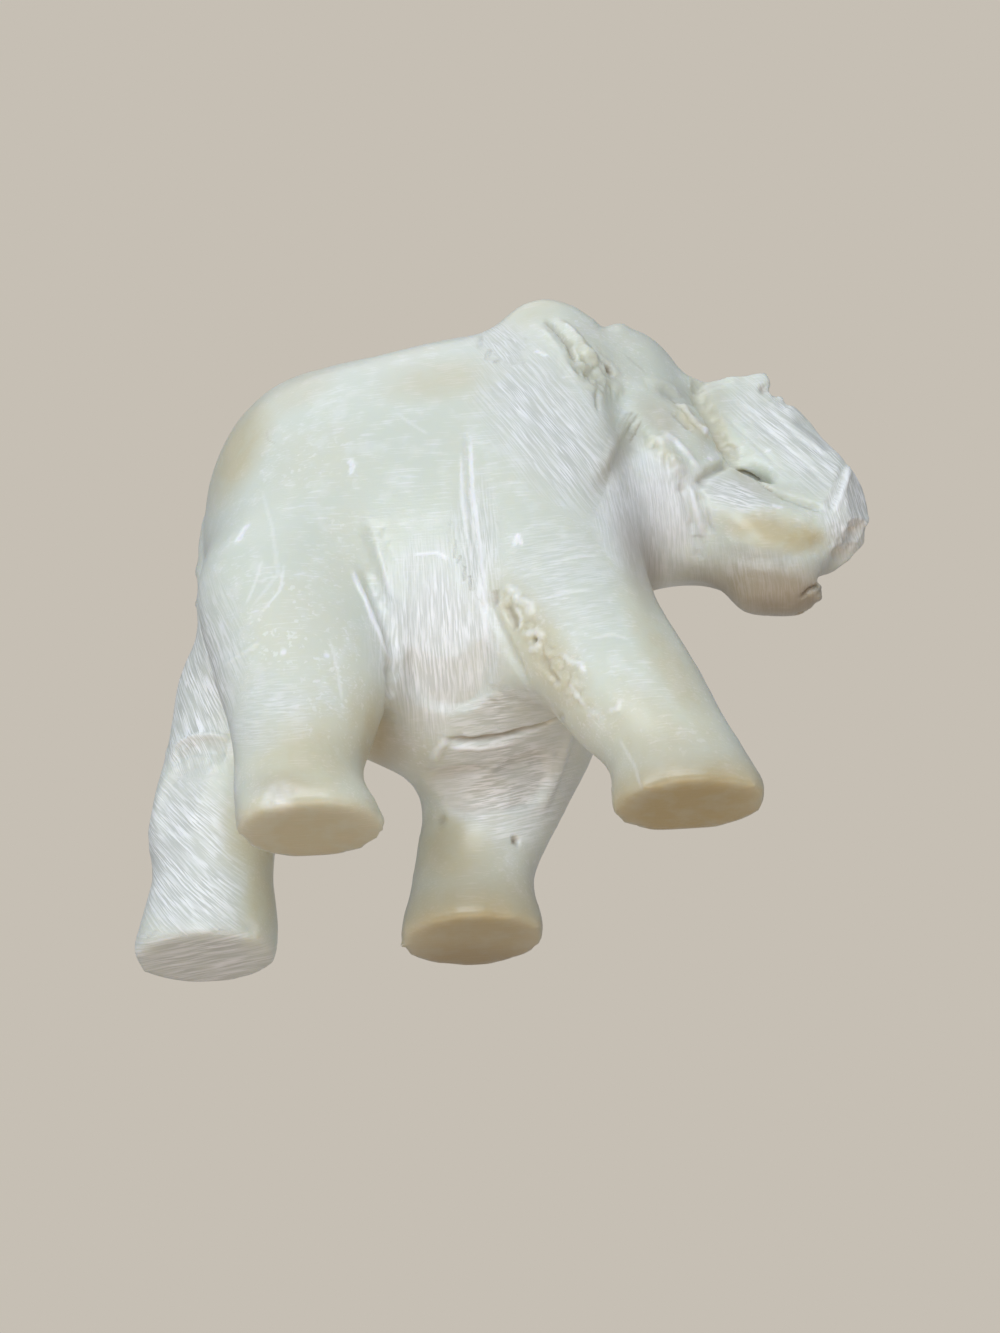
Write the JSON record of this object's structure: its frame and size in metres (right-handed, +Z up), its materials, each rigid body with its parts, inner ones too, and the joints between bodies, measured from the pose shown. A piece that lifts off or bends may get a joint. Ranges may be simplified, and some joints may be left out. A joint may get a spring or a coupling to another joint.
{
  "type": "stone elephant figurine",
  "caption": "Hand-carved pale stone elephant in a walking stance, with its raised trunk folded back onto its forehead, standing on flat soles.",
  "frame": {"origin": "middle of the box around the figurine, on the plane of its soles", "axes": "+X the way the elephant faces, +Y to its left, +Z up"},
  "size_m": [0.1008, 0.047, 0.0873],
  "materials": {
    "alabaster": "hand-polished with rasped patches"
  },
  "bodies": {
    "root": {"elephant": "alabaster"}
  },
  "joints": []
}
